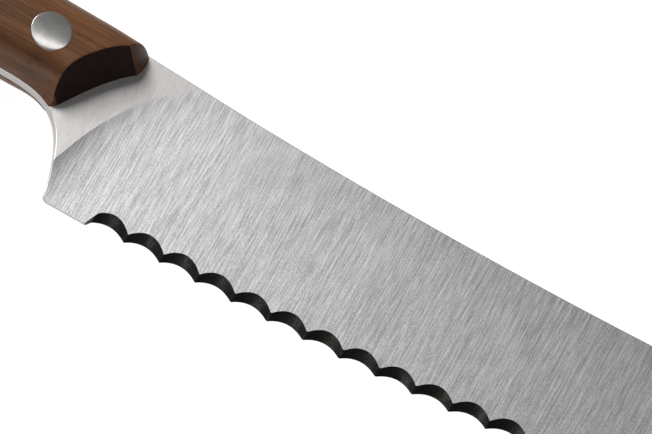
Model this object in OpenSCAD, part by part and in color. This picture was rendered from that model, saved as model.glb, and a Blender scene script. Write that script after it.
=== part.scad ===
/* [Blade] */
// Length of the blade from its heel to its tip
blade_len = 218; // [206:2:230]
// Thickness of the steel that the blade and tang are cut from
stock = 2.4; // [2:0.1:2.8]
// Thickness of the edge at the heel, before the scallops are ground
edge_t = 0.5; // [0.4:0.05:0.7]
// Depth of the blade at the heel, below the rivet datum line
heel_drop = 32.8; // [31.6:0.2:34]
// Height of the lowest point of the gently hollow spine above the datum line
spine_low = 2.6; // [2:0.1:3]

/* [Serrations] */
// Distance between neighbouring scallops
pitch = 7.72; // [7.4:0.02:8]
// Radius of the round groove that cuts each scallop
scallop_r = 14.75; // [13:0.25:17]
// Angle of the scallop grooves to the middle plane of the blade
bevel_angle = 15; // [13:0.5:18]

/* [Handle] */
// Length of the handle behind the heel
handle_len = 120; // [114:1:126]
// Thickness of each wooden scale
scale_t = 6.3; // [5.5:0.1:7.5]
// Diameter of the rivet heads
rivet_d = 8; // [6.5:0.5:9]
// Distance between the rivets
rivet_gap = 39; // [34:1:41]

/* [Hidden] */

steel = [0.74, 0.74, 0.75];
walnut = [0.42, 0.25, 0.14];
rivet_steel = [0.8, 0.8, 0.78];

half = stock / 2;
bezier_steps = 14;

// Drawing frame: X runs from the heel towards the tip, Y from the edge towards the spine, and Z
// through the thickness. The heel is at X = 0, and the datum line Y = 0 lies a little above the rivets.
handle_top = 6.9;
base_x = (blade_len - handle_len) / 2;
base_y = (handle_top - heel_drop) / 2;
base_z = half + scale_t;

// ---- curves ----
function bezier(p, t) =
    pow(1 - t, 3) * p[0] + 3 * pow(1 - t, 2) * t * p[1] + 3 * (1 - t) * t * t * p[2] + pow(t, 3) * p[3];
function bezier_points(p, first = 0) =
    [for (i = [first:bezier_steps]) bezier(p, i / bezier_steps)];
// Height of a curve at x. Its x falls steadily from its first point to its last.
function bezier_at(p, x, lo = 0, hi = 1, n = 22) =
    n == 0 ? bezier(p, (lo + hi) / 2)[1]
    : bezier(p, (lo + hi) / 2)[0] > x ? bezier_at(p, x, (lo + hi) / 2, hi, n - 1)
    : bezier_at(p, x, lo, (lo + hi) / 2, n - 1);

// Spine: a long hollow arc, then a round drop to the tip.
spine_r = 1100;
spine_low_x = 70;
drop_x = blade_len - 100;
drop_r = 385;
drop_a = asin((drop_x - spine_low_x) / spine_r);
function spine_y(x) = spine_low + spine_r - sqrt(spine_r * spine_r - pow(x - spine_low_x, 2));
function drop_point(a) =
    [drop_x + drop_r * (sin(drop_a) - sin(a)), spine_y(drop_x) + drop_r * (cos(a) - cos(drop_a))];

// Handle outline, from the spine back over the top, round the butt, and forward along the belly.
spine_start = 4;
waist_x = -0.75 * handle_len;
top_front = [[spine_start, spine_y(spine_start)], [-22, 6.2], [-42, handle_top], [-60, handle_top]];
top_rear = [[-60, handle_top], [-78, handle_top], [-handle_len + 28, 6.15], [-handle_len + 18, 4.9]];
butt_top = [[-handle_len + 18, 4.9], [-handle_len + 6, 3.4], [-handle_len, -3], [-handle_len, -11]];
butt_end = [[-handle_len + 7, -20.8], [-handle_len + 3, -21.83], [-handle_len, -17], [-handle_len, -11]];
hook = [[waist_x, -15.8], [waist_x - 9, -15.8], [-handle_len + 14, -19], [-handle_len + 7, -20.8]];
belly_rear = [[-58, -17], [-70, -17], [waist_x + 11, -15.8], [waist_x, -15.8]];
belly_front = [[-19, -13.25], [-32, -13.25], [-44, -17], [-58, -17]];
choil = [[-0.2, -heel_drop], [-3.3, -15.5], [-7.7, -13.25], [-19, -13.25]];

function top_y(x) =
    x > spine_start ? spine_y(x)
    : x > -60 ? bezier_at(top_front, x)
    : x > -handle_len + 18 ? bezier_at(top_rear, x)
    : bezier_at(butt_top, x);
function bottom_y(x) =
    x > -19 ? bezier_at(choil, x)
    : x > -58 ? bezier_at(belly_front, x)
    : x > waist_x ? bezier_at(belly_rear, x)
    : x > -handle_len + 7 ? bezier_at(hook, x)
    : bezier_at(butt_end, x);

// Edge: straight from the heel, then a long arc that rises to the tip.
edge_r = 713;
belly_x = 29;
function rise(x) = x < belly_x ? 0 : edge_r - sqrt(edge_r * edge_r - pow(x - belly_x, 2));

nose_a = asin(-0.203);
nose_start = drop_point(nose_a);
nose_end = [blade_len - 6, rise(blade_len - 6) - heel_drop];
nose_y = (nose_start[1] + nose_end[1]) / 2;
nose_top = [nose_start, nose_start + [3, -0.62], [blade_len, nose_y + 1], [blade_len, nose_y]];
nose_low = [[blade_len, nose_y], [blade_len, nose_y - 1], nose_end + [3, 0.8], nose_end];

heel_corner = 0.6;
arc_steps = 24;
blade_outline = concat(
    [for (i = [0:arc_steps]) let (x = spine_start + (drop_x - spine_start) * i / arc_steps) [x, spine_y(x)]],
    [for (i = [1:arc_steps]) drop_point(drop_a + (nose_a - drop_a) * i / arc_steps)],
    bezier_points(nose_top, 1),
    bezier_points(nose_low, 1),
    [for (i = [1:arc_steps]) let (x = nose_end[0] + (belly_x - nose_end[0]) * i / arc_steps)
        [x, rise(x) - heel_drop]],
    [[heel_corner, -heel_drop], [0.05, -heel_drop + 0.15]],
    bezier_points(choil, 1),
    bezier_points(belly_front, 1),
    bezier_points(belly_rear, 1),
    bezier_points(hook, 1),
    bezier_points(butt_end, 1),
    [for (i = [1:bezier_steps]) bezier(butt_top, 1 - i / bezier_steps)],
    [for (i = [1:bezier_steps]) bezier(top_rear, 1 - i / bezier_steps)],
    [for (i = [1:bezier_steps - 1]) bezier(top_front, 1 - i / bezier_steps)]);

// ---- flat grind ----
// Each face is z = a + b y + c x: one plane for most of the blade, and a second one that thins the tip.
rear_plane = [edge_t / 2 + 0.0262 * heel_drop, 0.0262, -0.0009];
tip_plane_at = blade_len - 108;
tip_b = 0.0334;
tip_c = -0.00655;
tip_plane = let (y = rise(tip_plane_at) - heel_drop)
    [height(rear_plane, tip_plane_at, y) - tip_b * y - tip_c * tip_plane_at, tip_b, tip_c];
function height(plane, x, y) = plane[0] + plane[1] * y + plane[2] * x;
function face_z(x, y) = min(height(rear_plane, x, y), height(tip_plane, x, y));

// Plan of the ground area: it starts at the curved line where the grinding wheel ran out.
grind_line = [[-3.6, -29], [0.16, -20], [0.53, -9.05], [17.2, 5]];
clear = 10;
ground_plan = concat(bezier_points(grind_line),
    [[blade_len + clear, 2 * clear], [blade_len + clear, -heel_drop - clear],
     [grind_line[0][0], -heel_drop - clear]]);

module above(plane, size = 700) {
    ry = -atan(plane[2]);
    translate([0, 0, plane[0]])
        rotate([atan(plane[1] * cos(ry)), ry, 0])
            translate([-size / 2, -size / 2, 0]) cube([size, size, 60]);
}

module ground_off() {
    for (plane = [rear_plane, tip_plane])
        intersection() {
            translate([0, 0, -1]) linear_extrude(height = half + 3) polygon(ground_plan);
            above(plane);
        }
}

// ---- scallops ----
first_scallop = 13.36;
gullet_y = 4.7 - heel_drop;
plain_tip = 8;
scallops = floor((blade_len - plain_tip - first_scallop) / pitch);
// Steep flank that ends the first scallop at the heel
flank_plane = [19.05, 0.361, -0.822];

module scallop(i) {
    x = first_scallop + i * pitch;
    y = gullet_y + rise(x);
    translate([x, y, face_z(x, y)])
        rotate([bevel_angle, 0, 0])
            translate([0, 3, scallop_r])
                rotate([90, 0, 0]) cylinder(h = 17, r = scallop_r, $fn = 96);
}

module blade_with_tang() color(steel) placed() {
    difference() {
        translate([0, 0, -half]) linear_extrude(height = stock) polygon(blade_outline);
        ground_off();
        mirror([0, 0, 1]) ground_off();
        intersection() {
            scallop(0);
            above(flank_plane);
        }
        for (i = [1:scallops]) scallop(i);
        for (i = [0:2])
            translate([rivet_x(i), rivet_y(i), -half - 1]) cylinder(h = stock + 2, d = barrel_d, $fn = 48);
    }
}

// ---- scales ----
// Section of a scale: from the tang's lower edge over the crown to its upper edge. The lower flank
// leans in near the front end.
section_steps = 9;
flank_lean = 38;
foot_corner = [-8.2, -15.3];
function smooth(x, a, b) = let (t = max(0, min(1, (x - a) / (b - a)))) t * t * (3 - 2 * t);
function crown(x) = scale_t * (x < -handle_len + 7 ? sqrt(1 - pow((-handle_len + 7 - x) / 7, 2)) : 1);
function section_point(x, v) =
    let (low = bottom_y(min(x, foot_corner[0])), high = top_y(x),
         mid = (low + high) / 2, reach = (high - low) / 2,
         c = crown(x), f = smooth(x, -18, -8), lean = flank_lean * f,
         wall = (0.7 - 0.19 * f) * c, shoulder = (0.32 + 0.08 * f) * reach,
         side = v < 0.5
            ? bezier([[low, 0], [low + wall * sin(lean), wall * cos(lean)], [low + shoulder, c], [mid, c]], 2 * v)
            : bezier([[high, 0], [high, 0.7 * c], [high - 0.32 * reach, c], [mid, c]], 2 - 2 * v))
    [x, side[0], half + side[1]];

// Front end of a scale: a slightly hollow face that leans back from the foot line on the tang.
lean_x = -0.66;
lean_y = 0.33;
foot = [[foot_corner, [-7.6, -15], [-7.1, -14.9], [-6.65, -14.3]],
        [[-6.65, -14.3], [-4.4, -10.6], [-1, -4.2], [3.3, -0.9]],
        [[3.3, -0.9], [4.6, 0.4], [4.6, 3], [3.2, 4.7]]];
function bezier_x_at(p, y, lo = 0, hi = 1, n = 22) =
    n == 0 ? bezier(p, (lo + hi) / 2)[0]
    : bezier(p, (lo + hi) / 2)[1] < y ? bezier_x_at(p, y, (lo + hi) / 2, hi, n - 1)
    : bezier_x_at(p, y, lo, (lo + hi) / 2, n - 1);
function foot_x(y) =
    y < foot[0][0][1] ? foot[0][0][0] + (y - foot[0][0][1]) * 1.5
    : y < foot[1][0][1] ? bezier_x_at(foot[0], y)
    : y < foot[2][0][1] ? bezier_x_at(foot[1], y)
    : bezier_x_at(foot[2], y);
function past_front(p) = p[0] - lean_x * (p[2] - half) - foot_x(p[1] - lean_y * (p[2] - half));
function rim_x(v, lo = -25, hi = 6, n = 24) =
    n == 0 ? (lo + hi) / 2
    : past_front(section_point((lo + hi) / 2, v)) > 0 ? rim_x(v, lo, (lo + hi) / 2, n - 1)
    : rim_x(v, (lo + hi) / 2, hi, n - 1);

round_stations = [0.35, 1.2, 2.6, 4.5, 7, 11, 15];
body_stations = 12;
front_stations = 6;
body_start = -handle_len + 21;
front_start = -26;
stations = concat(
    [for (d = round_stations) -handle_len + d],
    [for (i = [0:body_stations]) body_start + (front_start - body_start) * i / body_stations]);
levels = [for (k = [0:2 * section_steps]) k / (2 * section_steps)];
rim = [for (v = levels) rim_x(v)];
skin = concat(
    [for (x = stations) [for (v = levels) section_point(x, v)]],
    [for (j = [1:front_stations])
        [for (k = [0:len(levels) - 1])
            section_point(front_start + (rim[k] - front_start) * j / front_stations, levels[k])]]);
rows = len(skin);
wide = len(levels);
foot_points = [for (k = [1:wide - 2])
    let (p = skin[rows - 1][k], z = p[2] - half) [p[0] - lean_x * z, p[1] - lean_y * z, half]];
skin_points = [for (row = skin) for (p = row) p];
foot_first = len(skin_points);

function skin_index(j, k) = j * wide + k;
// Row of points along the foot line. Its two ends are the ends of the rim.
function foot_index(k) =
    k == 0 ? skin_index(rows - 1, 0)
    : k == wide - 1 ? skin_index(rows - 1, wide - 1)
    : foot_first + k - 1;

module scale_body() {
    polyhedron(
        points = concat(skin_points, foot_points),
        faces = concat(
            [for (j = [0:rows - 2]) for (k = [0:wide - 2])
                [skin_index(j, k), skin_index(j + 1, k), skin_index(j + 1, k + 1)]],
            [for (j = [0:rows - 2]) for (k = [0:wide - 2])
                [skin_index(j, k), skin_index(j + 1, k + 1), skin_index(j, k + 1)]],
            [[for (k = [0:wide - 1]) skin_index(0, k)]],
            [[skin_index(rows - 1, 0), foot_index(1), skin_index(rows - 1, 1)]],
            [for (k = [1:wide - 3])
                [skin_index(rows - 1, k), foot_index(k), foot_index(k + 1), skin_index(rows - 1, k + 1)]],
            [[skin_index(rows - 1, wide - 2), foot_index(wide - 2), skin_index(rows - 1, wide - 1)]],
            // Flat side on the tang: a strip between the two edges, then a fan out to the foot line.
            [for (j = [0:rows - 2])
                [skin_index(j + 1, 0), skin_index(j, 0), skin_index(j, wide - 1)]],
            [for (j = [0:rows - 2])
                [skin_index(j + 1, 0), skin_index(j, wide - 1), skin_index(j + 1, wide - 1)]],
            [for (k = [0:wide - 3])
                [skin_index(rows - 1, wide - 1), foot_index(k + 1), foot_index(k)]]),
        convexity = 6);
}

module scale_with_holes() {
    difference() {
        scale_body();
        for (i = [0:2])
            translate([rivet_x(i), rivet_y(i), 0]) {
                cylinder(h = scale_t * 2, d = barrel_d, $fn = 48);
                translate([0, 0, head_z]) cylinder(h = scale_t, d = rivet_d, $fn = 64);
            }
    }
}

module front_scale() color(walnut) placed() scale_with_holes();

module back_scale() color(walnut) placed() mirror([0, 0, 1]) scale_with_holes();

// ---- rivets ----
// Two-part cutler's rivet: a hollow half with its head on the front, and a solid half pressed into it.
first_rivet_x = -14.4;
barrel_d = 5;
bore_d = 3;
head_t = 2.2;
head_z = half + scale_t - head_t;
function rivet_x(i) = first_rivet_x - i * rivet_gap;
function rivet_y(i) = i == 0 ? -4.06 : (top_y(rivet_x(i)) + bottom_y(rivet_x(i))) / 2;
// Radius of the scale's crown beside a rivet, which grows with the depth of the handle
function crown_r(i) = 0.068 * pow(top_y(rivet_x(i)) - bottom_y(rivet_x(i)), 2);

// The heads are ground flush with the crown of the scale.
module head(i) {
    intersection() {
        translate([0, 0, head_z]) cylinder(h = head_t, d = rivet_d, $fn = 64);
        translate([-rivet_d, 0, half + scale_t - crown_r(i)])
            rotate([0, 90, 0]) cylinder(h = 2 * rivet_d, r = crown_r(i), $fn = 200);
    }
}

module rivet_socket(i) color(rivet_steel) placed() {
    translate([rivet_x(i), rivet_y(i), 0])
        difference() {
            union() {
                head(i);
                translate([0, 0, -head_z + 0.4]) cylinder(h = 2 * head_z, d = barrel_d, $fn = 48);
            }
            translate([0, 0, -head_z]) cylinder(h = 2 * head_z - 1, d = bore_d, $fn = 36);
        }
}

module rivet_pin(i) color(rivet_steel) placed() {
    translate([rivet_x(i), rivet_y(i), 0]) {
        mirror([0, 0, 1]) head(i);
        translate([0, 0, -head_z - 0.4]) cylinder(h = 2 * head_z - 1.6, d = bore_d, $fn = 36);
    }
}

module front_rivet_socket() rivet_socket(0);
module front_rivet_pin() rivet_pin(0);
module middle_rivet_socket() rivet_socket(1);
module middle_rivet_pin() rivet_pin(1);
module rear_rivet_socket() rivet_socket(2);
module rear_rivet_pin() rivet_pin(2);

// Moves the drawing frame to the knife's own frame: the middle of the box it fills, on the table.
module placed() translate([-base_x, -base_y, base_z]) children();

blade_with_tang();
front_scale();
back_scale();
front_rivet_socket();
front_rivet_pin();
middle_rivet_socket();
middle_rivet_pin();
rear_rivet_socket();
rear_rivet_pin();
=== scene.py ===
import math
import bmesh
import bpy
import numpy as np
from mathutils import Matrix, Vector


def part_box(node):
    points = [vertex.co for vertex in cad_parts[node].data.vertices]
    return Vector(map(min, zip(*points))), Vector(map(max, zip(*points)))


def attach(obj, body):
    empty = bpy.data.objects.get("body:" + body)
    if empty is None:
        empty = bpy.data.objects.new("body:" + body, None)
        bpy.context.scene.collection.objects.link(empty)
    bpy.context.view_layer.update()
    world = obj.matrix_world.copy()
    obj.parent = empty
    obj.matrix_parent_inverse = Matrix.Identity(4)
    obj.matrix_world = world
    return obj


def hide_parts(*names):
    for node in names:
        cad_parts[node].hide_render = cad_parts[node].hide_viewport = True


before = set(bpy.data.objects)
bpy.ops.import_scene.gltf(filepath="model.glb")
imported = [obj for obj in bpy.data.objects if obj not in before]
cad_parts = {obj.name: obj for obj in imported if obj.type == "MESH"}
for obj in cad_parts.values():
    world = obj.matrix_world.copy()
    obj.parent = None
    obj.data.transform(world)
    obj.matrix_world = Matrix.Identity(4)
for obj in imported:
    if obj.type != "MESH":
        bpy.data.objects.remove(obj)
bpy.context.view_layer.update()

# ---- drawing frame ----
# Sizes are in millimetres in the CAD's drawing frame: X = 0 at the heel and runs to the tip, Y runs
# from the edge to the spine with Y = 0 a little above the rivets, and Z = 0 is the blade's middle plane.
MM = 0.001
BLADE_LEN = 218.0
HEEL_DROP = 32.8
HALF = 1.2
SCALE_T = 6.3
tang_low, tang_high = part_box("blade_with_tang")
ORIGIN = np.array([
    tang_high.x - BLADE_LEN * MM,
    tang_low.y + HEEL_DROP * MM,
    (tang_low.z + tang_high.z) / 2,
])


def to_row(points):
    """Points of the drawing frame, in millimetres, as points of the row frame, in metres."""
    return np.asarray(points, float) * MM + ORIGIN


# ---- curves ----
FINE = 400  # steps in which a curve of the outline is drawn


def bezier(p, t):
    """Points of a cubic Bezier curve with the four control points p."""
    t = np.asarray(t, float)[..., None]
    p = np.asarray(p, float)
    near, far = (1 - t) ** 3 * p[0] + 3 * (1 - t) ** 2 * t * p[1], 3 * (1 - t) * t * t * p[2]
    return near + far + t**3 * p[3]


def polyline(p, n=FINE):
    return bezier(p, np.linspace(0, 1, n + 1))


def smooth(x, a, b):
    """A smooth step from 0 at a to 1 at b."""
    t = np.clip((np.asarray(x, float) - a) / (b - a), 0, 1)
    return t * t * (3 - 2 * t)


# Spine: a long hollow arc, then a round drop to the tip.
SPINE_LOW, SPINE_R, SPINE_LOW_X = 2.6, 1100.0, 70.0
DROP_X, DROP_R = BLADE_LEN - 100, 385.0
DROP_A = math.asin((DROP_X - SPINE_LOW_X) / SPINE_R)
NOSE_A = -math.radians(11.713)
SPINE_START = 4.0


def hollow_y(x):
    """The y of the spine's hollow arc."""
    return SPINE_LOW + SPINE_R - np.sqrt(SPINE_R**2 - (x - SPINE_LOW_X) ** 2)


def drop_point(a):
    """Point of the spine's drop whose normal leans back by the angle a."""
    x = DROP_X + DROP_R * (math.sin(DROP_A) - np.sin(a))
    y = hollow_y(DROP_X) + DROP_R * (np.cos(a) - math.cos(DROP_A))
    return np.stack([x, y], axis=-1)


# Edge: straight from the heel, then a long arc that rises to the tip.
EDGE_R, BELLY_X = 713.0, 29.0


def rise(x):
    """How far the edge has risen at x."""
    x = np.asarray(x, float)
    return np.where(x < BELLY_X, 0, EDGE_R - np.sqrt(EDGE_R**2 - (x - BELLY_X) ** 2))


# Handle outline, as Bezier curves whose x falls from the first point to the last.
TOP_FRONT = [(SPINE_START, float(hollow_y(SPINE_START))), (-22, 6.2), (-42, 6.9), (-60, 6.9)]
TOP_REAR = [(-60, 6.9), (-78, 6.9), (-92, 6.15), (-102, 4.9)]
BUTT_TOP = [(-102, 4.9), (-114, 3.4), (-120, -3), (-120, -11)]
BUTT_END = [(-113, -20.8), (-117, -21.83), (-120, -17), (-120, -11)]
HOOK = [(-90, -15.8), (-99, -15.8), (-106, -19), (-113, -20.8)]
BELLY_REAR = [(-58, -17), (-70, -17), (-79, -15.8), (-90, -15.8)]
BELLY_FRONT = [(-19, -13.25), (-32, -13.25), (-44, -17), (-58, -17)]
CHOIL = [(-0.2, -HEEL_DROP), (-3.3, -15.5), (-7.7, -13.25), (-19, -13.25)]
HANDLE_LEN = 120.0

# Nose: a short blunt curve between the spine and the edge.
nose_start = drop_point(np.array(NOSE_A))
nose_end = np.array([BLADE_LEN - 6, float(rise(BLADE_LEN - 6)) - HEEL_DROP])
nose_y = (nose_start[1] + nose_end[1]) / 2
NOSE_TOP = [nose_start, nose_start + [3, -0.62], (BLADE_LEN, nose_y + 1), (BLADE_LEN, nose_y)]
NOSE_LOW = [(BLADE_LEN, nose_y), (BLADE_LEN, nose_y - 1), nose_end + [3, 0.8], nose_end]


def top_outline():
    """The upper outline from the butt to the nose."""
    hollow_x = np.linspace(SPINE_START, DROP_X, FINE)
    hollow = np.stack([hollow_x, hollow_y(hollow_x)], axis=-1)
    drop = drop_point(np.linspace(DROP_A, NOSE_A, FINE))
    handle = [polyline(p)[::-1] for p in (BUTT_TOP, TOP_REAR, TOP_FRONT)]
    return np.concatenate(handle + [hollow, drop, polyline(NOSE_TOP)])


def low_outline():
    """The lower outline from the butt to the nose."""
    edge_x = np.linspace(0, nose_end[0], FINE)
    edge = np.stack([edge_x, rise(edge_x) - HEEL_DROP], axis=-1)
    handle = [polyline(p)[::-1] for p in (BUTT_END, HOOK, BELLY_REAR, BELLY_FRONT, CHOIL)]
    return np.concatenate(handle + [edge, polyline(NOSE_LOW)[::-1]])


TOP = top_outline()
LOW = low_outline()


def top_y(x):
    return np.interp(x, TOP[:, 0], TOP[:, 1])


def bottom_y(x):
    return np.interp(x, LOW[:, 0], LOW[:, 1])


# ---- mesh helpers ----
MERGE_DIST = 2e-7  # metres
AROUND = 96  # sides of a hole or a rivet
CUT_CLEAR = 1  # how far a cutter stands out of what it cuts


def make_piece(name, points, faces, materials, face_materials=None, crease=28):
    """A mesh object of the drawing frame's points, with its faces turned outwards."""
    mesh = bpy.data.meshes.new(name)
    mesh.from_pydata(to_row(points).tolist(), [], faces)
    for material in materials:
        mesh.materials.append(material)
    if face_materials is not None:
        mesh.polygons.foreach_set("material_index", np.asarray(face_materials, np.int32))
    bm = bmesh.new()
    bm.from_mesh(mesh)
    bmesh.ops.remove_doubles(bm, verts=bm.verts, dist=MERGE_DIST)
    bmesh.ops.recalc_face_normals(bm, faces=bm.faces)
    bm.to_mesh(mesh)
    bm.free()
    piece = bpy.data.objects.new(name, mesh)
    bpy.context.scene.collection.objects.link(piece)
    soften(piece, crease)
    return piece


def soften(piece, crease):
    """Smooth shading, except across edges sharper than crease, in degrees."""
    piece.data.polygons.foreach_set("use_smooth", np.ones(len(piece.data.polygons), bool))
    piece.data.set_sharp_from_angle(angle=math.radians(crease))
    piece.data.update()


def grid_faces(columns, rows, closed=False):
    """Quads of a grid whose points are stored column by column. Closed columns are loops."""
    wrap = rows if closed else rows - 1
    return [
        (
            i * rows + j,
            (i + 1) * rows + j,
            (i + 1) * rows + (j + 1) % rows,
            i * rows + (j + 1) % rows,
        )
        for i in range(columns - 1)
        for j in range(wrap)
    ]


def cut(piece, cutters, crease):
    """Takes the cutters away from the piece for good, and removes them. Corners that the cut leaves
    halfway along a straight edge go too."""
    bpy.context.view_layer.objects.active = piece
    for cutter in cutters:
        modifier = piece.modifiers.new("hole", "BOOLEAN")
        modifier.object = cutter
        modifier.operation = "DIFFERENCE"
        modifier.solver = "EXACT"
        bpy.ops.object.modifier_apply(modifier=modifier.name)
        bpy.data.objects.remove(cutter)
    bm = bmesh.new()
    bm.from_mesh(piece.data)
    bmesh.ops.dissolve_verts(bm, verts=[v for v in bm.verts if len(v.link_edges) == 2])
    bm.to_mesh(piece.data)
    bm.free()
    soften(piece, crease)


def rod(x, y, z0, z1, radius):
    """A plain upright rod, used only to cut holes."""
    angles = np.linspace(0, 2 * math.pi, AROUND, endpoint=False)
    ring = np.stack([x + radius * np.cos(angles), y + radius * np.sin(angles)], axis=-1)
    points = np.concatenate([np.c_[ring, np.full(AROUND, z)] for z in (z0, z1)])
    after = [(i + 1) % AROUND for i in range(AROUND)]
    sides = [(i, after[i], AROUND + after[i], AROUND + i) for i in range(AROUND)]
    ends = [tuple(range(AROUND)), tuple(range(AROUND, 2 * AROUND))]
    return make_piece("cutter", points, sides + ends, [])


# ---- blade surface ----
EDGE_HALF = 0.25  # half thickness just behind the edge
GROUND_HALF = 1.13  # half thickness of the ground spine near the heel
TIP_HALF = 0.38  # half thickness of the spine at the tip
TAPER_START = 15.0
TAPER_POWER = 1.25
GRIND_LINE = [(-3.6, -29), (0.16, -20), (0.53, -9.05), (17.2, 5)]
GRIND = polyline(GRIND_LINE, 2 * FINE)
GRIND_STRIDE = 4  # points of the grind line per chord, where distances from it are measured
PLUNGE = 2.8  # how far the wheel's hollow reaches in front of the grind line
SPINE_BAND = 11.0  # width of the band that falls away towards the spine
SPINE_FALL = 0.16
SPINE_FALL_START, SPINE_FALL_FULL = 8, 40


def grind_x(y):
    """The x of the grind line at y."""
    return np.interp(y, GRIND[:, 1], GRIND[:, 0])


def grind_distance(x, y):
    """Distance from points of the ground area to the line where the grind starts."""
    points = np.stack([x, y], axis=-1)[..., None, :]
    a, b = GRIND[:-1:GRIND_STRIDE], GRIND[GRIND_STRIDE::GRIND_STRIDE]
    along = b - a
    t = np.clip(((points - a) * along).sum(-1) / (along**2).sum(-1), 0, 1)
    nearest = a + t[..., None] * along
    return np.sqrt(((points - nearest) ** 2).sum(-1)).min(-1)


def edge_y(x):
    """The y of the edge, as if it had no scallops."""
    return rise(x) - HEEL_DROP


def taper(x):
    """Slope of each face: the spine gets thinner towards the tip."""
    x = np.clip(x, TAPER_START, BLADE_LEN)
    along = (x - TAPER_START) / (BLADE_LEN - TAPER_START)
    spine_half = GROUND_HALF - (GROUND_HALF - TIP_HALF) * along**TAPER_POWER
    return (spine_half - EDGE_HALF) / (top_y(np.minimum(x, nose_start[0])) - edge_y(x))


def flat_z(x, y):
    """The z of the flat-ground face without its hollow and its fall."""
    return EDGE_HALF + (y - edge_y(x)) * taper(x)


def ground_z(x, y):
    """The z of the ground face. It falls a little towards the spine, and the grinding wheel leaves a
    soft hollow along the line where it plunged in."""
    near_spine = np.clip((y - top_y(x)) / SPINE_BAND + 1, 0, 1)
    z = flat_z(x, y) - SPINE_FALL * near_spine**2 * smooth(x, SPINE_FALL_START, SPINE_FALL_FULL)
    return z + np.maximum(HALF - z, 0) * np.exp(-grind_distance(x, y) / PLUNGE)


# ---- scallops ----
PITCH = 7.72
FIRST_SCALLOP = 13.36
FIRST_CUSP = FIRST_SCALLOP + PITCH / 2
SCALLOPS = 26
SCALLOP_R = 14.75
SCALLOP_REACH = 0.9 * SCALLOP_R  # beyond this, another groove is always deeper
BEVEL = math.radians(15)
GULLET_Y = 4.7 - HEEL_DROP
HEEL_FLAT = 8.95  # end of the plain heel
HEEL_CORNER = 0.9
FLANK = (19.42, 0.361, -0.822)  # rear side of the first groove, z = a + b y + c x
HONE_SLOPE = math.tan(math.radians(5))
HONE_START = 2.3  # how far above the edge the back is honed
HONE_LEAST = 0.15  # least width of the honed strip above a scallop
HONE_END, HONE_GONE = BLADE_LEN - 8, BLADE_LEN - 1
LAND = 0.02  # thickness that is left at the very edge
SCALLOPED_LEAST = 0.03  # a groove shallower than this doesn't count
SCALLOPED_TO = nose_end[0] + 0.5


def scallop_lines(x):
    """For each scallop, the z of its groove at x, carried on straight to y = 0."""
    centres = FIRST_SCALLOP + PITCH * np.arange(SCALLOPS)
    gullets = GULLET_Y + rise(centres)
    across = np.clip(np.abs(x - centres), 0, SCALLOP_REACH)
    sag = SCALLOP_R - np.sqrt(SCALLOP_R**2 - across**2)
    return flat_z(centres, gullets) - gullets * math.tan(BEVEL) + sag / math.cos(BEVEL)


def meet(x, height, slope):
    """The y at which the scalloped surface meets the line z = height + slope y, in the section at x."""
    cylinder = (height - scallop_lines(x)) / (math.tan(BEVEL) - slope)
    flank = (height - FLANK[0] - FLANK[2] * x) / (FLANK[1] - slope)
    cylinder[0] = min(cylinder[0], flank)
    return cylinder.max()


def front_contour(x):
    """The y above which the scallops leave the front face alone."""
    slope = float(taper(x))
    return meet(x, float(flat_z(x, 0.0)), slope)


def groove_z(x, y):
    """The z of the scalloped surface, where it lies inside the blade."""
    heights = scallop_lines(x) + y * math.tan(BEVEL)
    heights[0] = max(heights[0], FLANK[0] + FLANK[1] * y + FLANK[2] * x)
    return float(heights.min())


def hone_line(x):
    """The z of the narrow flat honed along the back of the edge, carried on straight to y = 0."""
    start = edge_y(x) + HONE_START
    return float(-flat_z(x, start) + HONE_SLOPE * start)


def sharp_edge(x):
    """The y at which the scallops come out on the back."""
    slope = float(taper(x))
    back = meet(x, -float(flat_z(x, 0.0)), -slope)
    honed = meet(x, hone_line(x), -HONE_SLOPE)
    return max(back, honed)


def hone_reach(x):
    """How far above the edge the back starts to be honed. It runs out at the heel and at the nose."""
    return HONE_START * float(smooth(x, HEEL_CORNER, HEEL_FLAT) * (1 - smooth(x, HONE_END, HONE_GONE)))


def back_z(x, y):
    """The z of the back, ground or honed."""
    return np.maximum(-flat_z(x, y), hone_line(x) - HONE_SLOPE * y)


# ---- blade mesh ----
NECK_X = -19  # where the handle's belly turns into the choil
BUTT_X = -HANDLE_LEN + 19
BUTT_CLEAR = 0.02  # the first column stands this far inside the butt
BUTT_COLUMNS = 28
HANDLE_COLUMNS = 58
CHOIL_COLUMNS = 47
CHOIL_CROWDING = 0.8  # below 1, the choil's columns crowd together towards the grind line
GROUND_CHOIL_COLUMNS = 22
CORNER_COLUMNS = 7
HEEL_COLUMNS = 14
FIRST_COLUMNS = 24
SCALLOP_COLUMNS = 20
LAST_COLUMNS = 8
NOSE_COLUMNS = 16
NOSE_LAST_T = 0.07
ROUND = 0.2  # radius of the blank's corners
GAP_SHARE, LOW_SHARE, HIGH_SHARE = 0.28, 0.3, 0.35  # the most that a corner takes of a thin place
HEEL_CORNER_T = HEEL_CORNER / (3 * (CHOIL[1][1] - CHOIL[0][1]))
JOIN_X = FIRST_CUSP + 3 * PITCH  # from here on, the columns stand upright
UPPER_SPREAD = 11
BOW_FOOT_Y, BOW_HEAD_Y = -24.3, 3.6
GRIND_TOP_RANGE = (5, 25)
CORNER_STEPS = 4
ROWS = 30
BLADE_CREASE = 7


def inward(points, side):
    """Unit normals in plan, to the left of the points' direction for side 1 and to the right for -1."""
    along = np.gradient(points, axis=0)
    along /= np.linalg.norm(along, axis=1)[:, None]
    return side * np.stack([-along[:, 1], along[:, 0]], axis=-1)


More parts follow.
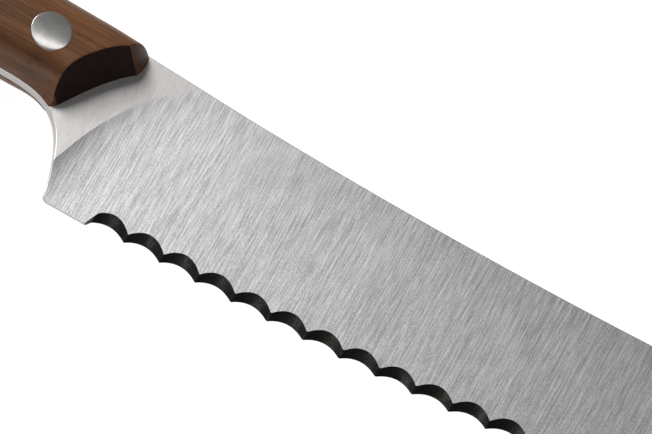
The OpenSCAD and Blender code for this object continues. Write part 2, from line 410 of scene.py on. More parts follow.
def grind_foot_t():
    """Parameter at which the choil, moved inwards by its rounded corner, crosses the grind line."""
    t = np.linspace(0, 1, 4 * FINE)
    points = bezier(CHOIL, t)
    inner = points + ROUND * inward(points[::-1], 1)[::-1]
    ahead = inner[:, 0] - grind_x(inner[:, 1])
    k = np.nonzero(np.diff(np.sign(ahead)))[0][0]
    return t[k] - ahead[k] * (t[k + 1] - t[k]) / (ahead[k + 1] - ahead[k])


def grind_top_x():
    """Where the grind line meets the spine, just inside its rounded corner."""
    x = np.linspace(*GRIND_TOP_RANGE, 5 * FINE)
    inner = top_y(x) - ROUND
    return float(x[np.argmin(np.abs(grind_x(inner) - x))])


def butt_columns():
    """Places along the butt, close together where its outline turns."""
    start = -HANDLE_LEN + BUTT_CLEAR
    return start + (BUTT_X + HANDLE_LEN - BUTT_CLEAR) * np.linspace(0, 1, BUTT_COLUMNS) ** 2


def low_stretches():
    """Starts of the columns on the lower outline: handle, choil behind the grind line, choil in front
    of it, heel corner, plain heel, scalloped edge and nose."""
    handle_x = np.concatenate([butt_columns(), np.linspace(BUTT_X, NECK_X, HANDLE_COLUMNS)[1:-1]])
    handle = np.stack([handle_x, bottom_y(handle_x)], axis=-1)
    grind_t = grind_foot_t()
    crowded = np.linspace(0, 1, CHOIL_COLUMNS) ** CHOIL_CROWDING
    choil_rear = bezier(CHOIL, 1 - (1 - grind_t) * crowded)
    choil_front = bezier(CHOIL, np.linspace(grind_t, HEEL_CORNER_T, GROUND_CHOIL_COLUMNS)[1:])
    down = choil_front[-1] + [0.09, -0.5 * HEEL_CORNER]
    corner_end = [(0.45 * HEEL_CORNER, -HEEL_DROP), (HEEL_CORNER, -HEEL_DROP)]
    corner = polyline([choil_front[-1], down, *corner_end], CORNER_COLUMNS)[1:]
    heel_x = np.linspace(HEEL_CORNER, HEEL_FLAT, HEEL_COLUMNS)[1:]
    heel = np.stack([heel_x, np.full(len(heel_x), -HEEL_DROP)], axis=-1)
    first = np.linspace(HEEL_FLAT, FIRST_CUSP, FIRST_COLUMNS)[1:]
    count = (SCALLOPS - 1) * SCALLOP_COLUMNS
    scallops = FIRST_CUSP + PITCH / SCALLOP_COLUMNS * np.arange(1, count + 1)
    last = np.linspace(scallops[-1], nose_end[0], LAST_COLUMNS)[1:]
    edge_x = np.concatenate([first, scallops, last])
    edge = np.stack([edge_x, edge_y(edge_x)], axis=-1)
    nose = bezier(NOSE_LOW, np.linspace(1, NOSE_LAST_T, NOSE_COLUMNS)[1:])
    return [handle, choil_rear, choil_front, corner, heel, edge, nose]


def column_ends():
    """Start of each column on the lower outline, x of its end on the upper one, how far it follows the
    grind line, from 0 to 1, and which column lies on the grind line. The columns are upright along
    the handle, turn to lie along the grind line, and turn back to upright over the first scallops."""
    stretches = low_stretches()
    low = np.concatenate(stretches)
    rear = len(stretches[0])
    front = rear + len(stretches[1]) - 1
    free = front + sum(len(stretch) for stretch in stretches[2:5])
    join = free + int(np.argmin(np.abs(low[free:, 0] - JOIN_X)))
    spine_x = grind_top_x()
    free_x = spine_x + UPPER_SPREAD
    upper = low[:, 0].copy()
    upper[rear : front + 1] = np.linspace(NECK_X, spine_x, front - rear + 1)
    upper[front : free + 1] = np.linspace(spine_x, free_x, free - front + 1)
    share = (low[free : join + 1, 0] - low[free, 0]) / (low[join, 0] - low[free, 0])
    upper[free : join + 1] = free_x + (low[join, 0] - free_x) * share
    follow = np.zeros(len(low))
    follow[rear : front + 1] = smooth(np.arange(front - rear + 1), 0, front - rear)
    follow[front : free + 1] = 1
    follow[free : join + 1] = 1 - smooth(share, 0, 1)
    return low, upper, follow, front


def corner_radii(low, high, ground, scalloped):
    """Radii of a column's lower and upper corners, smaller where the blade is narrow or thin."""
    radius = min(ROUND, GAP_SHARE * (high[1] - low[1]))
    if not ground:
        return radius, radius
    thin = EDGE_HALF if scalloped else float(ground_z(*low))
    return min(radius, LOW_SHARE * thin), min(radius, HIGH_SHARE * float(ground_z(*high)))


def corner_strip(outer, normal, z, radius):
    """Rounded corner, from the face at height z down to the wall."""
    angles = np.linspace(0, math.pi / 2, CORNER_STEPS + 1)[:, None]
    plan = outer + normal * radius * (1 - np.sin(angles))
    return np.c_[plan, z - radius * (1 - np.cos(angles))]


def straight_strip(start, end):
    """As many points as a rounded corner has, on a straight line."""
    share = np.linspace(0, 1, CORNER_STEPS + 1)[:, None]
    return start + (end - start) * share


def grind_bow(v):
    """How far the grind line bows out from its own chord."""
    x = grind_x(BOW_FOOT_Y + (BOW_HEAD_Y - BOW_FOOT_Y) * v)
    return x - (1 - v) * grind_x(BOW_FOOT_Y) - v * grind_x(BOW_HEAD_Y)


def face_rows(low_end, high_end, bend, snap):
    """Plan points of one column, from its lower end to its upper one. Those of a column that snaps
    lie on the grind line."""
    v = np.linspace(0, 1, ROWS + 1)[:, None]
    rows = (1 - v) * low_end + v * high_end
    rows[:, 0] += bend * grind_bow(v[:, 0])
    if snap:
        rows[:, 0] = grind_x(rows[:, 1])
    return rows


def blade_columns():
    """Closed loops of points round the blade, one for each column, and for each whether it is ground
    and whether it is scalloped."""
    low, upper, follow, grind_at = column_ends()
    high = np.stack([upper, top_y(upper)], axis=-1)
    low_in, high_in = inward(low, 1), inward(high, -1)
    loops, kinds = [], []
    for i in range(len(low)):
        x, edge = low[i, 0], edge_y(low[i, 0])
        ground = i > grind_at
        in_reach = HEEL_FLAT < x < SCALLOPED_TO
        scalloped = in_reach and front_contour(x) > edge + SCALLOPED_LEAST
        radius_low, radius_high = corner_radii(low[i], high[i], ground, scalloped)
        high_end = high[i] + high_in[i] * radius_high
        if scalloped:
            tip = max(sharp_edge(x), float(edge))
            front_end = np.array([x, front_contour(x)])
            back_end = np.array([x, max(edge + hone_reach(x), tip + HONE_LEAST)])
        else:
            front_end = low[i] + low_in[i] * radius_low
            back_end = front_end + [0, hone_reach(x) if ground else 0]
        front = face_rows(front_end, high_end, follow[i], i == grind_at)
        back = face_rows(back_end, high_end, follow[i], i == grind_at)
        front_face_z = ground_z(front[:, 0], front[:, 1]) if ground else np.full(len(front), HALF)
        back_face_z = -ground_z(back[:, 0], back[:, 1]) if ground else np.full(len(back), -HALF)
        if scalloped:
            honed_z = float(back_z(x, tip))
            groove_end = np.array([x, tip, max(groove_z(x, tip), honed_z + LAND)])
            lower_front = straight_strip(np.array([*front_end, front_face_z[0]]), groove_end)
            honed_start = np.array([*back_end, back_face_z[0]])
            lower_back = straight_strip(honed_start, np.array([x, tip, honed_z]))
        else:
            lower_front = corner_strip(low[i], low_in[i], front_face_z[0], radius_low)
            lower_back = lower_front * [1, 1, -1]
            lower_back[0] = [*back_end, back_face_z[0]]
        upper_corner = corner_strip(high[i], high_in[i], front_face_z[-1], radius_high)
        front_face, back_face = np.c_[front, front_face_z], np.c_[back, back_face_z]
        upper_front, upper_back = upper_corner[::-1], upper_corner * [1, 1, -1]
        stretches = [upper_front, front_face[-2:0:-1], lower_front]
        stretches += [lower_back[::-1], back_face[1:-1], upper_back]
        loops.append(np.concatenate(stretches))
        kinds.append((ground, scalloped))
    return np.array(loops), kinds


def build_blade(materials):
    """The blade with its tang. Its materials are for plain steel, ground faces, grooves and walls."""
    loops, kinds = blade_columns()
    columns, rows = loops.shape[:2]
    # Each end of the blade is closed by quads between the mirrored points of its front and its back.
    cap = [(j, j + 1, rows - 2 - j, rows - 1 - j) for j in range(rows // 2 - 1)]
    last = (columns - 1) * rows
    faces = grid_faces(columns, rows, closed=True)
    faces += cap + [tuple(last + k for k in quad) for quad in cap]
    plain, brushed, bevel, wall = range(4)
    face_start, face_end = CORNER_STEPS, CORNER_STEPS + ROWS
    bevel_end = face_end + CORNER_STEPS
    back_start = bevel_end + 1 + CORNER_STEPS
    back_end = back_start + ROWS
    slots = []
    # Strip j lies between the points j and j + 1 of two columns, and the last strip is the spine's wall.
    for here, ahead in zip(kinds[:-1], kinds[1:]):
        ground, scalloped = here[0] or ahead[0], here[1] and ahead[1]
        for j in range(rows):
            if scalloped and face_end <= j < bevel_end:
                slots.append(bevel)
            elif j == rows - 1 or (j == bevel_end and not scalloped):
                slots.append(wall)
            elif ground and (face_start <= j < face_end or back_start <= j < back_end):
                slots.append(brushed)
            else:
                slots.append(plain)
    slots += [wall] * (2 * len(cap))
    piece = make_piece("blade", loops.reshape(-1, 3), faces, materials, slots, BLADE_CREASE)
    blade_out = HALF + CUT_CLEAR
    holes = [rod(*rivet_place(i), -blade_out, blade_out, BARREL_R) for i in range(len(RIVET_NAMES))]
    cut(piece, holes, BLADE_CREASE)
    return piece


# ---- scales ----
SECTION_STEPS = 18
WALL, SHOULDER = 0.7, 0.32  # Bezier handles of a section, as shares of its thickness and half width
NECK_WALL, NECK_SHOULDER = -0.19, 0.08  # what the lower flank's handles gain at the neck
FRONT_WALL, FRONT_SHOULDER = 0.18, -0.1  # what the upper flank's handles gain at the front
NECK_START, NECK_FULL = -18, -8
FRONT_START, FRONT_FULL = -16, -2
FLANK_LEAN = {1: math.radians(38), -1: math.radians(16)}  # of the lower flank, for each side
FOOT_CORNER = np.array([-8.2, -15.3])
FOOT_SLOPE = 1.5
LEAN = np.array([-0.66, 0.33])  # how far the front end leans in plan, for each millimetre of height
FOOT = [
    [(-8.2, -15.3), (-7.6, -15), (-7.1, -14.9), (-6.65, -14.3)],
    [(-6.65, -14.3), (-4.4, -10.6), (-1, -4.3), (3.6, -0.4)],
    [(3.6, -0.4), (4.2, 0.8), (4.75, 3), (3.6, 4.7)],
]
FOOT_LINE = np.concatenate([polyline(p) for p in FOOT])
FLANK_TOP, FACET_LOW = FOOT[0][-1][1], FOOT[2][0][1]  # corners of the foot line, at the dark end
DARK_TOP = FACET_LOW + 0.01
RIM_ROUND = 0.3
FLANK_ROUND = 3 * RIM_ROUND
DOWN_SHARE, BACK_SHARE = 0.4, 0.5  # the most that a rim's rounding takes of the line on each side
RIM_RANGE = (-25.0, 6.0)
RIM_HALVINGS, CREASE_HALVINGS = 40, 30
BODY_END_X = -26
BODY_COLUMNS, FRONT_COLUMNS = 32, 19
SEAM = 0.1
SEAM_RUN_OUT = 3
BUTT_ROUND = 7.0
RIM_STEPS = 4
END_STEPS = 8
SCALE_CREASE = 24


def crown(x):
    """Thickness of a scale along its middle. It rounds off at the butt."""
    behind = np.clip((-HANDLE_LEN + BUTT_ROUND - x) / BUTT_ROUND, 0, 1)
    return SCALE_T * math.sqrt(1 - behind**2)


def section(x, v, side=1):
    """Points of a scale's section at x, from its lower edge at v = 0 over the crown to v = 1."""
    low, high = float(bottom_y(min(x, FOOT_CORNER[0]))), float(top_y(x))
    mid, reach = (low + high) / 2, (high - low) / 2
    c = crown(x)
    neck = float(smooth(x, NECK_START, NECK_FULL))
    lean = FLANK_LEAN[side] * neck
    wall, shoulder = (WALL + NECK_WALL * neck) * c, (SHOULDER + NECK_SHOULDER * neck) * reach
    handle = (low + wall * math.sin(lean), wall * math.cos(lean))
    lower = [(low, 0), handle, (low + shoulder, c), (mid, c)]
    full = float(smooth(x, FRONT_START, FRONT_FULL))
    wall, shoulder = (WALL + FRONT_WALL * full) * c, (SHOULDER + FRONT_SHOULDER * full) * reach
    upper = [(high, 0), (high, wall), (high - shoulder, c), (mid, c)]
    v = np.asarray(v, float)
    flank = np.where((v < 0.5)[..., None], bezier(lower, 2 * v), bezier(upper, 2 - 2 * v))
    return np.stack([np.full(v.shape, x), flank[..., 0], HALF + flank[..., 1]], axis=-1)


def foot_x(y):
    """The x at which a scale's front end meets the blade."""
    below = FOOT_CORNER[0] + (y - FOOT_CORNER[1]) * FOOT_SLOPE
    return below if y < FOOT_CORNER[1] else float(np.interp(y, FOOT_LINE[:, 1], FOOT_LINE[:, 0]))


def rim_x(v, side):
    """Where the level line v of the crown meets the leaning front end."""
    lo, hi = RIM_RANGE
    for _ in range(RIM_HALVINGS):
        x = (lo + hi) / 2
        p = section(x, np.array(v), side)
        height = p[2] - HALF
        ahead = p[0] - LEAN[0] * height - foot_x(p[1] - LEAN[1] * height)
        lo, hi = (lo, x) if ahead > 0 else (x, hi)
    return (lo + hi) / 2


def level_line(v, side):
    """One line along the scale: over the crown to the rim, round it, and down to the foot line."""
    body = np.linspace(BUTT_X, BODY_END_X, BODY_COLUMNS)[1:]
    front = BODY_END_X + (rim_x(v, side) - BODY_END_X) * np.linspace(0, 1, FRONT_COLUMNS)[1:]
    places = np.concatenate([butt_columns()[1:], body, front])
    line = [section(x, np.array(v), side) for x in places]
    rim = line.pop()
    fall = rim[2] - HALF
    foot = rim - [LEAN[0] * fall, LEAN[1] * fall, fall]
    back, down = rim - line[-1], foot - rim
    radius = FLANK_ROUND if foot[1] < FLANK_TOP else RIM_ROUND
    reach = min(radius, DOWN_SHARE * np.linalg.norm(down))
    length = np.linalg.norm(back)
    before = rim - back / length * min(reach, BACK_SHARE * length)
    after = rim + down / max(np.linalg.norm(down), 1e-9) * reach
    t = np.linspace(0, 1, RIM_STEPS + 1)[:, None]
    line += list((1 - t) ** 2 * before + 2 * (1 - t) * t * rim + t * t * after)
    line += [after + (foot - after) * share for share in np.linspace(0, 1, END_STEPS + 1)[1:]]
    return np.array(line)


def crease_level(side):
    """The level line that comes down on the corner of the foot line, where the front facet starts."""
    lo, hi = 0.5, 1.0
    for _ in range(CREASE_HALVINGS):
        v = (lo + hi) / 2
        lo, hi = (v, hi) if level_line(v, side)[-1][1] < FACET_LOW else (lo, v)
    return (lo + hi) / 2


def scale_lines(side):
    """The scale's level lines, with a fine chamfer at each edge for the seam at the tang."""
    half_levels = np.linspace(0, 0.5, SECTION_STEPS + 1)
    levels = np.concatenate([half_levels, 1 - half_levels[-2::-1], [crease_level(side)]])
    lines = [level_line(v, side) for v in np.sort(levels)]
    for edge, inwards in ((0, 1), (-1, -1)):
        line = lines[edge]
        room = np.linalg.norm(line - line[-1], axis=1)
        seam = SEAM * np.clip(room / SEAM_RUN_OUT, 0, 1)
        flat_row = line + np.outer(seam, [0, inwards, 0])
        line[:, 2] += seam
        lines.insert(0 if edge == 0 else len(lines), flat_row)
    return lines


def build_scale(name, side, materials):
    """A scale on the front for side 1, or on the back for side -1."""
    lines = scale_lines(side)
    points = np.array(lines)
    points[..., 2] *= side
    count, size = points.shape[:2]
    low_row = list(range(size))
    high_row = [(count - 1) * size + j for j in range(size)]
    foot_row = [k * size + size - 1 for k in range(count)]
    butt_row = [k * size for k in range(count)]
    flat_side = low_row[:-1] + foot_row[:-1] + high_row[::-1]
    faces = grid_faces(count, size) + [tuple(flat_side), tuple(butt_row)]
    side_grain, dark_end = 0, 1
    end_start = size - END_STEPS - RIM_STEPS // 2 - 1
    slots = []
    # The near-black end-grain colour, which is partly painted shade, goes only on the front end between
    # the flank and the facet; the flank and the facet keep the side grain.
    for line, after in zip(lines[:-1], lines[1:]):
        on_end = FLANK_TOP < line[-1][1] and after[-1][1] < DARK_TOP
        slots += [dark_end if on_end and j >= end_start else side_grain for j in range(size - 1)]
    slots += [side_grain, side_grain]
    piece = make_piece(name, points.reshape(-1, 3), faces, materials, slots, SCALE_CREASE)
    holes = []
    for i in range(len(RIVET_NAMES)):
        x, y = rivet_place(i)
        outside = side * (HALF + 2 * SCALE_T)
        holes.append(rod(x, y, side * (HALF - CUT_CLEAR), outside, BARREL_R))
        holes.append(rod(x, y, side * HEAD_Z, outside, RIVET_R + HEAD_GAP))
    cut(piece, holes, SCALE_CREASE)
    return piece


# ---- rivets ----
RIVET_NAMES = ("front", "middle", "rear")
RIVET_R = 4.0
RIVET_GAP = 39.0
FIRST_RIVET = (-14.4, -4.06)
BARREL_R = 2.5
BORE_R = 1.5
HEAD_Z = HALF + SCALE_T - 2.2
HEAD_TOP = HALF + SCALE_T + 0.02
HEAD_GAP = 0.03
HEAD_ROUND = 0.05
HEAD_RINGS = 10
HEAD_MIDDLE_R = 0.15
BORE_WALL = 1  # between the bottom of the bore and the head's underside
SOCKET_GAP, PIN_START, PIN_POINT = 0.4, 2, 1.7  # heights above the other half's head
PIN_POINT_R = 0.4 * BORE_R


def rivet_place(i):
    """Middle of a rivet. The front one, which the photo shows, has a place of its own."""
    x = FIRST_RIVET[0] - i * RIVET_GAP
    middle = float(top_y(x) + bottom_y(x)) / 2
    return x, FIRST_RIVET[1] if i == 0 else middle


def crown_z(x, y):
    """The z of the front scale's crown."""
    over_crown = np.linspace(0.05, 0.95, FINE // 2)
    points = section(x, over_crown)
    return float(np.interp(y, points[:, 1], points[:, 2]))


def turned(name, i, side, profile, material):
    """A round solid on a rivet's axis. Points of its profile are (radius, height, share of the crown's
    fall that they follow), from one end of the axis to the other."""
    x0, y0 = rivet_place(i)
    points = []
    for radius, height, follow in profile:
        for a in np.linspace(0, 2 * math.pi, AROUND, endpoint=False):
            x, y = x0 + radius * math.cos(a), y0 + radius * math.sin(a)
            fall = HALF + SCALE_T - crown_z(x, y) if follow else 0
            points.append((x, y, side * (height - follow * fall)))
    faces = grid_faces(len(profile), AROUND, closed=True)
    last = (len(profile) - 1) * AROUND
    faces += [tuple(range(AROUND)), tuple(range(last, last + AROUND))]
    return make_piece(name, points, faces, [material])


def head_profile():
    """The ground head, from its middle out to its rounded rim and down to its underside."""
    middle = RIVET_R - HEAD_ROUND
    face = [(r, HEAD_TOP, 1) for r in np.linspace(HEAD_MIDDLE_R, middle, HEAD_RINGS)]
    rim = [
        (middle + HEAD_ROUND * math.sin(a), HEAD_TOP - HEAD_ROUND * (1 - math.cos(a)), 1)
        for a in np.linspace(0, math.pi / 2, CORNER_STEPS + 1)[1:]
    ]
    return face + rim + [(RIVET_R, HEAD_Z, 0)]


def build_rivet(i, material):
    """The two halves of a cutler's rivet: a hollow one on the front, and a solid one pressed into it."""
    socket = head_profile() + [
        (BARREL_R, HEAD_Z, 0),
        (BARREL_R, -HEAD_Z + SOCKET_GAP, 0),
        (BORE_R, -HEAD_Z + SOCKET_GAP, 0),
        (BORE_R, HEAD_Z - BORE_WALL, 0),
    ]
    pin = head_profile() + [
        (BORE_R, HEAD_Z, 0),
        (BORE_R, -HEAD_Z + PIN_START, 0),
        (PIN_POINT_R, -HEAD_Z + PIN_POINT, 0),
    ]
    return (
        turned(RIVET_NAMES[i] + "_rivet_socket_half", i, 1, socket, material),
        turned(RIVET_NAMES[i] + "_rivet_pin_half", i, -1, pin, material),
    )


# ---- materials ----
class Nodes:
    """Short calls for the nodes of one material."""

    def __init__(self, name):
        self.material = bpy.data.materials.new(name)
        self.material.use_nodes = True
        self.tree = self.material.node_tree
        self.shader = self.tree.nodes["Principled BSDF"]
        self.place = self.add("ShaderNodeTexCoord").outputs["Object"]

    def add(self, kind, **settings):
        node = self.tree.nodes.new(kind)
        for key, value in settings.items():
            setattr(node, key, value)
        return node

    def link(self, value, socket):
        if isinstance(value, (int, float, tuple)):
            socket.default_value = value
        else:
            self.tree.links.new(value, socket)

    def stretched(self, size, shift=(0, 0, 0)):
        """The object's coordinates in units of size, in millimetres along X, Y and Z."""
        node = self.add("ShaderNodeMapping")
        node.inputs["Scale"].default_value = [1 / (s * MM) for s in size]
        node.inputs["Location"].default_value = shift
        self.link(self.place, node.inputs["Vector"])
        return node.outputs["Vector"]

    def noise(self, size, detail=2.0, rough=0.5, shift=(0, 0, 0), distortion=0.0):
        """Noise from 0 to 1, with features of the given size in millimetres along X, Y and Z."""
        node = self.add("ShaderNodeTexNoise")
        self.link(self.stretched(size, shift), node.inputs["Vector"])
        node.inputs["Scale"].default_value = 1.0
        node.inputs["Detail"].default_value = detail
        node.inputs["Roughness"].default_value = rough
        node.inputs["Distortion"].default_value = distortion
        return node.outputs["Fac"]

    def math(self, operation, a, b):
        node = self.add("ShaderNodeMath", operation=operation)
        for value, socket in zip((a, b), node.inputs):
            self.link(value, socket)
        return node.outputs[0]

    def weighted(self, *parts):
        """Sum of the parts, each a value and its weight."""
        total = None
        for value, weight in parts:
            part = self.math("MULTIPLY", value, weight)
            total = part if total is None else self.math("ADD", total, part)
        return total

    def remap(self, value, low, high, to_low, to_high):
        """The value, stretched so that low to high becomes to_low to to_high, and held there."""
        node = self.add("ShaderNodeMapRange")
        for v, socket in zip((value, low, high, to_low, to_high), node.inputs):
            self.link(v, socket)
        return node.outputs[0]

    def ramp(self, value, stops):
        node = self.add("ShaderNodeValToRGB")
        elements = node.color_ramp.elements
        while len(elements) < len(stops):
            elements.new(0.5)
        for element, (position, color) in zip(elements, stops):
            element.position = position
            element.color = (*color, 1)
        self.link(value, node.inputs["Fac"])
        return node.outputs["Color"]

    def mix(self, factor, a, b):
        """A colour between a and b."""
        node = self.add("ShaderNodeMix", data_type="RGBA")
        self.link(factor, node.inputs["Factor"])
        for value, socket in zip((a, b), (node.inputs[6], node.inputs[7])):
            self.link((*value, 1) if isinstance(value, tuple) else value, socket)
        return node.outputs[2]

    def bump(self, height, depth):
        """Bump from a height of 0 to 1 that stands for depth, in millimetres."""
        node = self.add("ShaderNodeBump")
        node.inputs["Strength"].default_value = 1.0
        node.inputs["Distance"].default_value = depth * MM
        self.link(height, node.inputs["Height"])
        self.link(node.outputs["Normal"], self.shader.inputs["Normal"])

    def across_scratches(self):
        """Highlights spread along X, because the scratches run along Y."""
        node = self.add("ShaderNodeCombineXYZ")
        node.inputs["X"].default_value = 1.0
        return node.outputs[0]

    def set(self, **values):
        """Sets sockets of the shader, whose names are written with _ for a space."""
        for key, value in values.items():
            self.link(value, self.shader.inputs[key.replace("_", " ")])


def brushed_steel():
    """Ground blade face: long fine scratches across the blade, from the belt, and a fine grain."""
    n = Nodes("ground_steel")
    fine = n.noise((0.14, 4, 3), detail=1)
    line = n.noise((0.15, 10, 3), detail=1, shift=(3, 1, 0))
    long_line = n.noise((0.16, 30, 3), detail=1, shift=(8, 3, 0))
    grain = n.noise((0.15, 0.25, 3), detail=1, shift=(2, 8, 0))
    cloud = n.noise((14, 16, 9), detail=2, shift=(1, 9, 2))
    scratch = n.weighted((fine, 0.3), (line, 0.22), (long_line, 0.16), (grain, 0.32))
    dark, middle, light = (0.44, 0.43, 0.443), (0.66, 0.646, 0.662), (0.88, 0.862, 0.881)
    color = n.ramp(scratch, [(0.41, dark), (0.5, middle), (0.59, light)])
    rough = n.remap(fine, 0.3, 0.7, 0.36, 0.38)
    rough = n.math("ADD", rough, n.remap(cloud, 0.3, 0.7, -0.003, 0.003))
    n.set(Base_Color=color, Roughness=rough, Metallic=1.0)
    n.set(Anisotropic=0.6, Tangent=n.across_scratches())
    n.bump(scratch, 0.001)
    return n.material


def satin_steel():
    """Tang and ricasso, and the rounded corners: finer and more even than the ground faces."""
    n = Nodes("satin_steel")
    fine = n.noise((0.12, 1.5, 3), detail=2, rough=0.6)
    line = n.noise((0.18, 5, 3), detail=1, shift=(5, 2, 0))
    scratch = n.weighted((fine, 0.6), (line, 0.4))
    color = n.ramp(scratch, [(0.36, (0.56, 0.545, 0.53)), (0.64, (0.68, 0.66, 0.645))])
    rough = n.remap(line, 0.3, 0.7, 0.38, 0.42)
    n.set(Base_Color=color, Roughness=rough, Metallic=1.0)
    n.set(Anisotropic=0.5, Tangent=n.across_scratches())
    n.bump(scratch, 0.0008)
    return n.material


def wall_steel():
    """Spine, choil and tang edges: ground along their length and a little darker."""
    n = Nodes("edge_steel")
    line = n.noise((9, 9, 0.12), detail=2, rough=0.6)
    color = n.ramp(line, [(0.35, (0.40, 0.375, 0.36)), (0.65, (0.48, 0.455, 0.44))])
    rough = n.remap(line, 0.3, 0.7, 0.3, 0.4)
    n.set(Base_Color=color, Roughness=rough, Metallic=1.0)
    n.bump(line, 0.001)
    return n.material


def bevel_steel():
    """Scallop grooves: smooth dark steel with faint grinding lines and a brown stain here and there."""
    n = Nodes("scallop_steel")
    fine = n.noise((0.12, 3, 2), detail=3, rough=0.6)
    stain = n.noise((1.6, 1.6, 1.6), detail=2, shift=(4, 4, 4))
    stained = n.remap(stain, 0.4, 0.7, 0.0, 0.5)
    color = n.mix(stained, (0.38, 0.37, 0.355), (0.3, 0.23, 0.15))
    rough = n.remap(fine, 0.3, 0.7, 0.11, 0.19)
    n.set(Base_Color=color, Roughness=rough, Metallic=1.0)
    n.bump(fine, 0.001)
    return n.material


def rivet_steel():
    """Rivet heads: fine satin steel, ground with the scales."""
    n = Nodes("rivet_satin")
    grain = n.noise((0.25, 0.25, 0.25), detail=3, rough=0.6)
    cloud = n.noise((1.8, 1.8, 1.8), detail=2, shift=(2, 2, 2))
    color = n.ramp(cloud, [(0.35, (0.59, 0.58, 0.56)), (0.65, (0.68, 0.67, 0.64))])
    rough = n.remap(grain, 0.3, 0.7, 0.27, 0.34)
    n.set(Base_Color=color, Roughness=rough, Metallic=1.0)
    n.bump(grain, 0.002)
    return n.material


def walnut():
    """Oiled walnut with its grain along the handle."""
    n = Nodes("walnut")
    figure = n.noise((46, 3.4, 3.0), detail=4, rough=0.6, distortion=0.6)
    streak = n.noise((24, 0.55, 0.6), detail=3, rough=0.6, shift=(3, 3, 3))
    fibre = n.noise((6, 0.16, 0.16), detail=2, rough=0.6, shift=(9, 1, 5))
    pore = n.noise((2.6, 0.13, 0.13), detail=1, shift=(2, 7, 4))
    tones = [
        (0.34, (0.042, 0.013, 0.003)),
        (0.46, (0.078, 0.027, 0.005)),
        (0.56, (0.112, 0.041, 0.009)),
        (0.68, (0.150, 0.060, 0.016)),
    ]
    color = n.ramp(n.weighted((figure, 0.5), (streak, 0.5)), tones)
    color = n.mix(n.remap(fibre, 0.35, 0.65, 0.0, 0.35), color, (0.06, 0.028, 0.014))
    pores = n.remap(pore, 0.62, 0.70, 0.0, 0.7)
    color = n.mix(pores, color, (0.018, 0.008, 0.004))
    rough = n.math("ADD", n.remap(streak, 0.3, 0.7, 0.40, 0.50), n.math("MULTIPLY", pores, 0.2))
    height = n.math("SUBTRACT", n.math("MULTIPLY", fibre, 0.5), pores)
    n.set(Base_Color=color, Roughness=rough)
    n.shader.inputs["Specular IOR Level"].default_value = 0.36
    n.bump(height, 0.012)
    return n.material


def end_grain_and_shade():
    """Front ends of the scales: oiled walnut end grain, whose open pores make it darker than the side
    grain, painted almost black to stand also for the shade that the front end lies in.
    """
    n = Nodes("walnut_end_grain")
    ring = n.noise((3.0, 3.4, 0.9), detail=3, distortion=0.4)
    pore = n.noise((0.22, 0.22, 0.22), detail=2, shift=(5, 5, 5))
    # Near-black: partly the end grain's own dark tone, partly painted shade.
    color = n.ramp(ring, [(0.35, (0.006, 0.001, 0.0004)), (0.65, (0.016, 0.003, 0.001))])
    color = n.mix(n.remap(pore, 0.58, 0.68, 0.0, 0.8), color, (0.003, 0.001, 0.0005))
    rough = n.remap(pore, 0.3, 0.7, 0.5, 0.65)
    n.set(Base_Color=color, Roughness=rough)
    n.shader.inputs["Specular IOR Level"].default_value = 0.25
    n.bump(pore, 0.012)
    return n.material


FLOOR_GLOW = 0.96


def floor_paper():
    """Pale studio paper, lit from within so that the ground reads white."""
    n = Nodes("studio_paper")
    fibre = n.noise((3, 3, 3), detail=3)
    color = n.ramp(fibre, [(0.3, (0.13, 0.13, 0.13)), (0.7, (0.16, 0.16, 0.16))])
    n.set(Base_Color=color, Roughness=0.9)
    n.set(Emission_Color=(1.0, 1.0, 1.0, 1.0), Emission_Strength=FLOOR_GLOW)
    n.bump(fibre, 0.01)
    return n.material


# ---- studio ----
# From here on, places and sizes are in metres in the row's frame.
FLOOR_SIZE = 6.0
SOFTBOXES = [  # name, place, size, power in watts
    ("top", (-0.07, 0.09, 0.59), (0.13, 0.12), 0.2),
    ("window", (-0.432, 0.245, 0.337), (0.2, 0.2), 5.0),
    ("fill", (0.0, -0.55, 0.25), (0.5, 0.25), 1.3),
]
HORIZON, HORIZON_COLOR = 0.40, (1.0, 0.99, 0.98, 1)
CEILING, CEILING_COLOR = 0.52, (0.045, 0.045, 0.047, 1)
DIM_AZIMUTH = 45
DIM_START, DIM_FULL = 0.3, 0.8
SKY_STRENGTH, DIM_STRENGTH = 0.35, 0.1


def add_floor():
    half = FLOOR_SIZE / 2 / MM
    corners = [(-half, -half), (half, -half), (half, half), (-half, half)]
    down = -ORIGIN[2] / MM
    points = [(x, y, down) for x, y in corners]
    piece = make_piece("floor", points, [(0, 1, 2, 3)], [floor_paper()])
    if piece.data.polygons[0].normal.z < 0:
        piece.data.flip_normals()


def direction(azimuth, elevation):
    """Unit vector towards a point of the sky. Azimuth 0 is the front, and grows to the right."""
    a, e = math.radians(azimuth), math.radians(elevation)
    return Vector((math.sin(a) * math.cos(e), -math.cos(a) * math.cos(e), math.sin(e)))


def add_softbox(name, place, size, power):
    """A rectangular lamp that faces the middle of the knife."""
    light = bpy.data.lights.new(name, "AREA")
    light.shape = "RECTANGLE"
    light.size, light.size_y = size
    light.energy = power
    lamp = bpy.data.objects.new(name, light)
    lamp.location = place
    lamp.rotation_euler = (-Vector(place)).to_track_quat("-Z", "Y").to_euler()
    bpy.context.scene.collection.objects.link(lamp)


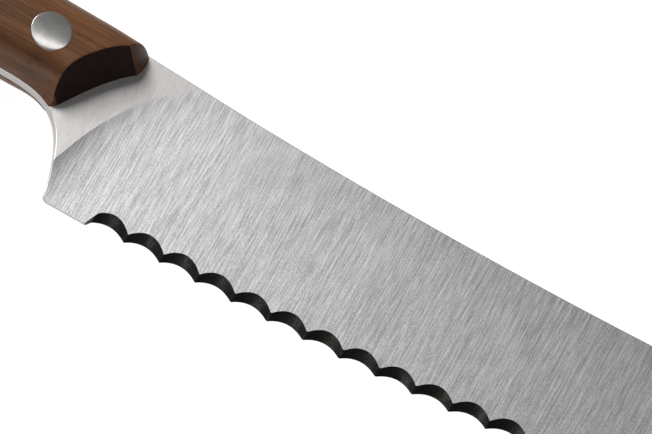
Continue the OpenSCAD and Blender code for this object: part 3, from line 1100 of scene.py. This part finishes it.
def add_sky():
    """A dim studio with a bright band round the horizon, like white walls and paper. It is dimmer
    towards the right front."""
    world = bpy.data.worlds.new("studio")
    bpy.context.scene.world = world
    world.use_nodes = True
    tree = world.node_tree
    background = tree.nodes["Background"]
    place = tree.nodes.new("ShaderNodeTexCoord").outputs["Generated"]
    split = tree.nodes.new("ShaderNodeSeparateXYZ")
    tree.links.new(place, split.inputs[0])
    ramp = tree.nodes.new("ShaderNodeValToRGB")
    low, high = ramp.color_ramp.elements
    low.position, low.color = HORIZON, HORIZON_COLOR
    high.position, high.color = CEILING, CEILING_COLOR
    tree.links.new(split.outputs["Z"], ramp.inputs["Fac"])
    tree.links.new(ramp.outputs["Color"], background.inputs["Color"])
    aside = tree.nodes.new("ShaderNodeVectorMath")
    aside.operation = "DOT_PRODUCT"
    aside.inputs[1].default_value = direction(DIM_AZIMUTH, 0)
    tree.links.new(place, aside.inputs[0])
    fade = tree.nodes.new("ShaderNodeMapRange")
    for socket, value in zip(fade.inputs[1:], (DIM_START, DIM_FULL, SKY_STRENGTH, DIM_STRENGTH)):
        socket.default_value = value
    tree.links.new(aside.outputs["Value"], fade.inputs[0])
    tree.links.new(fade.outputs[0], background.inputs["Strength"])


CAMERA_AIM = (48.2, -6.33, 0.0)  # in the drawing frame
CAMERA_ELEVATION = 63.0
CAMERA_ROLL = 29.3
CAMERA_DISTANCE = 2.0
VIEW_WIDTH = 0.1239
SENSOR_WIDTH = 36.0
CLIP = (0.01, 20.0)


def add_camera():
    """A camera straight in front of the knife that looks down on it. Its roll makes the blade point
    down and to the right."""
    data = bpy.data.cameras.new("camera")
    data.sensor_width = SENSOR_WIDTH
    data.lens = SENSOR_WIDTH * CAMERA_DISTANCE / VIEW_WIDTH
    data.clip_start, data.clip_end = CLIP
    camera = bpy.data.objects.new("camera", data)
    towards = direction(0, CAMERA_ELEVATION)
    level_up = direction(180, 90 - CAMERA_ELEVATION)
    along = Vector((1, 0, 0))
    roll = math.radians(CAMERA_ROLL)
    right = along * math.cos(roll) + level_up * math.sin(roll)
    up = level_up * math.cos(roll) - along * math.sin(roll)
    place = Vector(to_row(CAMERA_AIM)) + towards * CAMERA_DISTANCE
    turn = Matrix((right, up, towards)).transposed().to_4x4()
    camera.matrix_world = Matrix.Translation(place) @ turn
    bpy.context.scene.collection.objects.link(camera)
    bpy.context.scene.camera = camera


# ---- build ----
blade = build_blade([satin_steel(), brushed_steel(), bevel_steel(), wall_steel()])
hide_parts("blade_with_tang")

woods = [walnut(), end_grain_and_shade()]
for scale_name, scale_side in (("front_scale", 1), ("back_scale", -1)):
    scale = build_scale(scale_name + "_wood", scale_side, woods)
    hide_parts(scale_name)
    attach(scale, "root")
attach(blade, "root")

head_steel = rivet_steel()
for rivet_index, rivet_name in enumerate(RIVET_NAMES):
    halves = build_rivet(rivet_index, head_steel)
    for rivet_half, node in zip(halves, ("_rivet_socket", "_rivet_pin")):
        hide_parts(rivet_name + node)
        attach(rivet_half, "root")

add_floor()
add_sky()
for softbox in SOFTBOXES:
    add_softbox(*softbox)
add_camera()
bpy.context.scene.view_settings.view_transform = "Standard"
